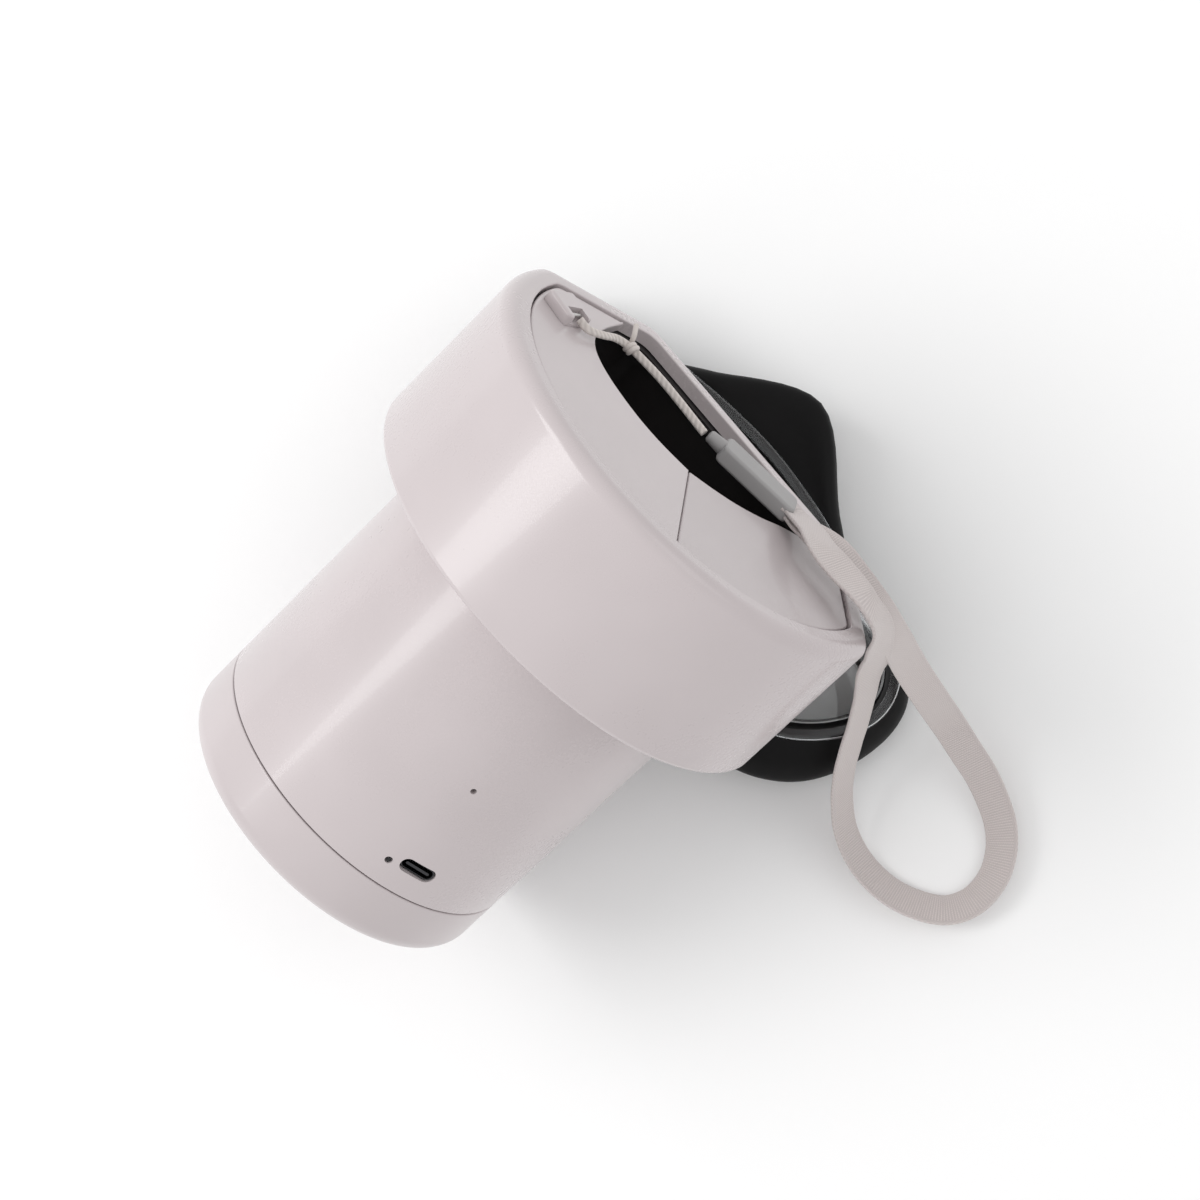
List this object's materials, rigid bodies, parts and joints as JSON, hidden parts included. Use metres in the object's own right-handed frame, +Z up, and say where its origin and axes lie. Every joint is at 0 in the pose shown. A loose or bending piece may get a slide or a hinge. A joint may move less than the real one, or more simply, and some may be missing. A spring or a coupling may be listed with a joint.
{
  "type": "handheld smoke-escape respirator",
  "caption": "White handheld powered respirator: round handle with air-slotted twist-off base cap, D-shaped head, clear cup with black rubber face seal, and a woven wrist strap.",
  "frame": {"origin": "on the surface that the device lies on, under the middle of the device without its strap", "axes": "+X along the handle from the base cap to the head, level with the surface; +Y to the left of the face side; +Z up from the surface. The handle itself rises 22 degrees from +X to +Z."},
  "size_m": [0.1674, 0.1841, 0.1383],
  "materials": {
    "base_cap": "smooth satin-gloss white",
    "body_shell": "smooth satin-gloss white",
    "battery_tray": "moulded grey",
    "battery_cell_1": "blue heat-shrink wrap",
    "battery_cell_2": "blue heat-shrink wrap",
    "battery_cell_3": "blue heat-shrink wrap",
    "circuit_board": "green solder mask",
    "charging_socket": "stamped shell",
    "light_pipe": "clear",
    "reset_button": "black",
    "blower_housing": "moulded grey",
    "blower_motor": "plated can",
    "impeller": "moulded grey",
    "filter_frame": "moulded grey",
    "filter_media": "pleated fibre",
    "filter_gasket": "soft",
    "neck_ring": "moulded grey",
    "head_shell": "smooth satin-gloss white",
    "head_screw_1": "zinc",
    "head_screw_2": "zinc",
    "head_screw_3": "zinc",
    "head_screw_4": "zinc",
    "valve_seat": "moulded grey",
    "valve_flap": "soft",
    "stowage_tray": "black",
    "top_plate_left": "satin white",
    "top_plate_right": "satin white",
    "strap_anchor": "satin white",
    "anchor_pin": "polished",
    "face_seal": "glossy silicone rubber",
    "clear_cup": "clear smoked",
    "clamp_ring": "grey",
    "seal_band": "clear",
    "strap_thread": "braided thread",
    "strap_ribbon": "woven ribbon",
    "strap_crimp": "grey"
  },
  "bodies": {
    "device": {"body_shell": "body_shell", "battery_tray": "battery_tray", "battery_cell_1": "battery_cell_1", "battery_cell_2": "battery_cell_2", "battery_cell_3": "battery_cell_3", "circuit_board": "circuit_board", "charging_socket": "charging_socket", "light_pipe": "light_pipe", "reset_button": "reset_button", "blower_housing": "blower_housing", "blower_motor": "blower_motor", "filter_frame": "filter_frame", "filter_media": "filter_media", "filter_gasket": "filter_gasket", "neck_ring": "neck_ring", "head_shell": "head_shell", "head_screw_1": "head_screw_1", "head_screw_2": "head_screw_2", "head_screw_3": "head_screw_3", "head_screw_4": "head_screw_4", "valve_seat": "valve_seat", "valve_flap": "valve_flap", "stowage_tray": "stowage_tray", "top_plate_left": "top_plate_left", "top_plate_right": "top_plate_right", "strap_anchor": "strap_anchor", "anchor_pin": "anchor_pin", "face_seal": "face_seal", "clear_cup": "clear_cup", "clamp_ring": "clamp_ring", "seal_band": "seal_band", "strap_thread": "strap_thread", "strap_ribbon": "strap_ribbon", "strap_crimp": "strap_crimp"},
    "cap": {"base_cap": "base_cap"},
    "fan": {"impeller": "impeller"}
  },
  "joints": [
    {"name": "cap_twist", "type": "hinge", "parent": "device", "child": "cap", "pos_m": [-0.06949, 0, 0.0374], "axis": [0.9272, 0, 0.3746], "range_deg": [0, 30]},
    {"name": "fan_spin", "type": "hinge", "parent": "device", "child": "fan", "pos_m": [-0.01265, 0, 0.06036], "axis": [0.9272, 0, 0.3746], "continuous": true}
  ]
}
